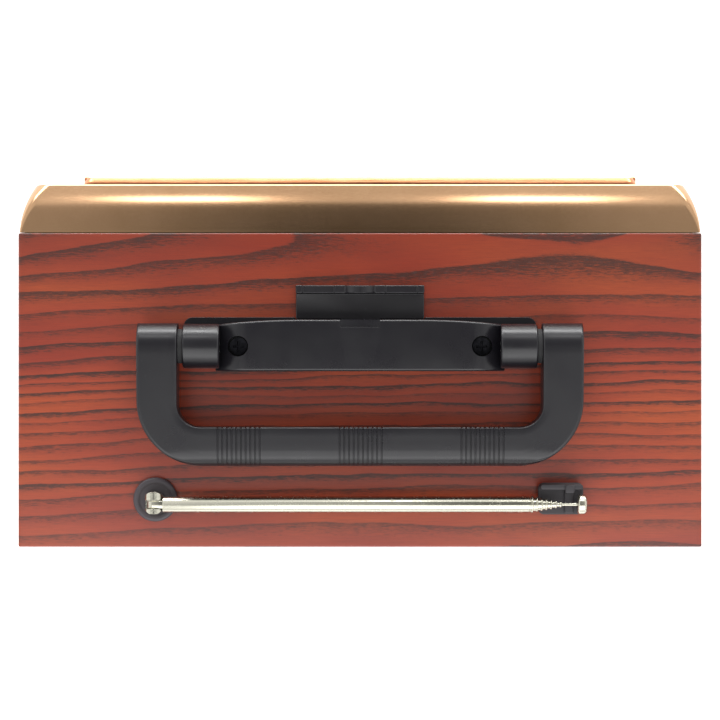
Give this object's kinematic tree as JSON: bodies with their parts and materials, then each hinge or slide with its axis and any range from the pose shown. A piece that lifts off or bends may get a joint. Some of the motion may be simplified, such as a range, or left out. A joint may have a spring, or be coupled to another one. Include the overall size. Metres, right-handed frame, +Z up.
{
  "type": "tabletop radio",
  "caption": "Tabletop radio with a wooden cabinet, curved metal front bezel, knobs and dial, folding carry handle with a phone rest, and a telescopic antenna.",
  "frame": {"origin": "under the middle of the object, on the plane that its feet stand on", "axes": "the front with the knobs faces -Y, +X is to the right seen from the front, +Z is up"},
  "size_m": [0.305, 0.1722, 0.2063],
  "materials": {
    "stained_oak_veneer": "satin varnish",
    "bronze_paint": "metallic bronze paint, satin",
    "copper_trim": "rose copper plating, bright",
    "black_satin_plastic": "fine moulded texture",
    "gloss_black_plastic": "polished",
    "nickel_chrome": "polished plating",
    "plated_steel": "zinc plated",
    "rubber": "matte",
    "clear_plastic": "clear, polished",
    "cream_print": "printed",
    "speaker_cloth": "woven",
    "paper_pulp": "pressed paper",
    "circuit_board": "solder mask",
    "fibreboard": "raw",
    "ferrite": "sintered, matte"
  },
  "bodies": {
    "cabinet": {"antenna_base": "black_satin_plastic", "antenna_clip": "black_satin_plastic", "baffle_board": "fibreboard", "bass_port": "black_satin_plastic", "battery_holder": "black_satin_plastic", "bracket_base": "black_satin_plastic", "bracket_screw_left": "plated_steel", "bracket_screw_right": "plated_steel", "cabinet_sleeve": "stained_oak_veneer", "control_panel": "gloss_black_plastic", "dial_scale": "cream_print", "dial_window": "clear_plastic", "ferrite_rod": "ferrite", "foot_front_left": "rubber", "foot_front_right": "rubber", "foot_rear_left": "rubber", "foot_rear_right": "rubber", "front_bezel": "bronze_paint", "front_circuit_board": "circuit_board", "front_trim_frame": "copper_trim", "handle_bracket": "black_satin_plastic", "left_speaker_basket": "plated_steel", "left_speaker_cone": "paper_pulp", "line_in_socket": "black_satin_plastic", "main_circuit_board": "circuit_board", "mains_inlet": "black_satin_plastic", "mains_transformer": "plated_steel", "phone_rest": "black_satin_plastic", "rear_panel": "black_satin_plastic", "right_speaker_basket": "plated_steel", "right_speaker_cone": "paper_pulp", "speaker_cloth": "speaker_cloth", "speaker_grille": "black_satin_plastic", "tuning_capacitor": "plated_steel", "volume_potentiometer": "plated_steel"},
    "handle": {"handle_grip": "black_satin_plastic", "handle_pin_left": "plated_steel", "handle_pin_right": "plated_steel"},
    "battery_door": {"battery_door": "black_satin_plastic"},
    "volume_control": {"volume_knob": "bronze_paint", "volume_shaft": "plated_steel"},
    "tuning_control": {"tuning_knob": "bronze_paint", "tuning_shaft": "plated_steel"},
    "pointer": {"dial_pointer": "copper_trim"},
    "power_key": {"power_button": "black_satin_plastic"},
    "band_am_key": {"band_am_button": "black_satin_plastic"},
    "band_fm_key": {"band_fm_button": "black_satin_plastic"},
    "band_sw_key": {"band_sw_button": "black_satin_plastic"},
    "tone_key": {"tone_button": "black_satin_plastic"},
    "antenna_swivel_head": {"antenna_knuckle": "nickel_chrome", "antenna_pin": "nickel_chrome"},
    "antenna_tube_1": {"antenna_section_1": "nickel_chrome"},
    "antenna_tube_2": {"antenna_section_2": "nickel_chrome"},
    "antenna_tube_3": {"antenna_section_3": "nickel_chrome"},
    "antenna_tube_4": {"antenna_section_4": "nickel_chrome"},
    "antenna_tube_5": {"antenna_section_5": "nickel_chrome"},
    "antenna_tube_6": {"antenna_section_6": "nickel_chrome"},
    "antenna_tube_7": {"antenna_section_7": "nickel_chrome"},
    "antenna_end": {"antenna_rod": "nickel_chrome", "antenna_tip": "nickel_chrome"}
  },
  "joints": [
    {"name": "handle_fold", "type": "hinge", "parent": "cabinet", "child": "handle", "pos_m": [0, -0.00335, 0.1962], "axis": [1, 0, 0], "range_deg": [0, 180]},
    {"name": "antenna_swivel", "type": "hinge", "parent": "cabinet", "child": "antenna_swivel_head", "pos_m": [0.0911, 0.06485, 0.184], "axis": [0, 0, -1], "range_deg": [0, 180]},
    {"name": "antenna_tilt", "type": "hinge", "parent": "antenna_swivel_head", "child": "antenna_tube_1", "pos_m": [0.0911, 0.06655, 0.1935], "axis": [0, 1, 0], "range_deg": [0, 90]},
    {"name": "antenna_slide_1", "type": "slide", "parent": "antenna_tube_1", "child": "antenna_tube_2", "axis": [-1, 0, 0], "range_m": [0, 0.12]},
    {"name": "antenna_slide_2", "type": "slide", "parent": "antenna_tube_2", "child": "antenna_tube_3", "axis": [-1, 0, 0], "range_m": [0, 0.12]},
    {"name": "antenna_slide_3", "type": "slide", "parent": "antenna_tube_3", "child": "antenna_tube_4", "axis": [-1, 0, 0], "range_m": [0, 0.12]},
    {"name": "antenna_slide_4", "type": "slide", "parent": "antenna_tube_4", "child": "antenna_tube_5", "axis": [-1, 0, 0], "range_m": [0, 0.12]},
    {"name": "antenna_slide_5", "type": "slide", "parent": "antenna_tube_5", "child": "antenna_tube_6", "axis": [-1, 0, 0], "range_m": [0, 0.12]},
    {"name": "antenna_slide_6", "type": "slide", "parent": "antenna_tube_6", "child": "antenna_tube_7", "axis": [-1, 0, 0], "range_m": [0, 0.12]},
    {"name": "antenna_slide_7", "type": "slide", "parent": "antenna_tube_7", "child": "antenna_end", "axis": [-1, 0, 0], "range_m": [0, 0.12]},
    {"name": "volume_turn", "type": "hinge", "parent": "cabinet", "child": "volume_control", "pos_m": [-0.1005, -0.08385, 0.0583], "axis": [0, 1, 0], "range_deg": [0, 300]},
    {"name": "tuning_turn", "type": "hinge", "parent": "cabinet", "child": "tuning_control", "pos_m": [0.1005, -0.08385, 0.0583], "axis": [0, 1, 0], "range_deg": [-360, 360]},
    {"name": "pointer_travel", "type": "slide", "parent": "cabinet", "child": "pointer", "axis": [1, 0, 0], "range_m": [-0.0541, 0.0541]},
    {"name": "battery_door_hinge", "type": "hinge", "parent": "cabinet", "child": "battery_door", "pos_m": [-0.062, 0.08265, 0.0338], "axis": [-1, 0, 0], "range_deg": [0, 90]},
    {"name": "power_press", "type": "slide", "parent": "cabinet", "child": "power_key", "axis": [0, 1, 0], "range_m": [0, 0.0016], "stiffness_N_per_m": 300, "springref_m": -0.002},
    {"name": "band_am_press", "type": "slide", "parent": "cabinet", "child": "band_am_key", "axis": [0, 1, 0], "range_m": [0, 0.0016], "stiffness_N_per_m": 300, "springref_m": -0.002},
    {"name": "band_fm_press", "type": "slide", "parent": "cabinet", "child": "band_fm_key", "axis": [0, 1, 0], "range_m": [0, 0.0016], "stiffness_N_per_m": 300, "springref_m": -0.002},
    {"name": "band_sw_press", "type": "slide", "parent": "cabinet", "child": "band_sw_key", "axis": [0, 1, 0], "range_m": [0, 0.0016], "stiffness_N_per_m": 300, "springref_m": -0.002},
    {"name": "tone_press", "type": "slide", "parent": "cabinet", "child": "tone_key", "axis": [0, 1, 0], "range_m": [0, 0.0016], "stiffness_N_per_m": 300, "springref_m": -0.002}
  ],
  "couplings": [
    {"joint": "pointer_travel", "follows": "tuning_turn", "m_per_rad": 0.00859}
  ]
}
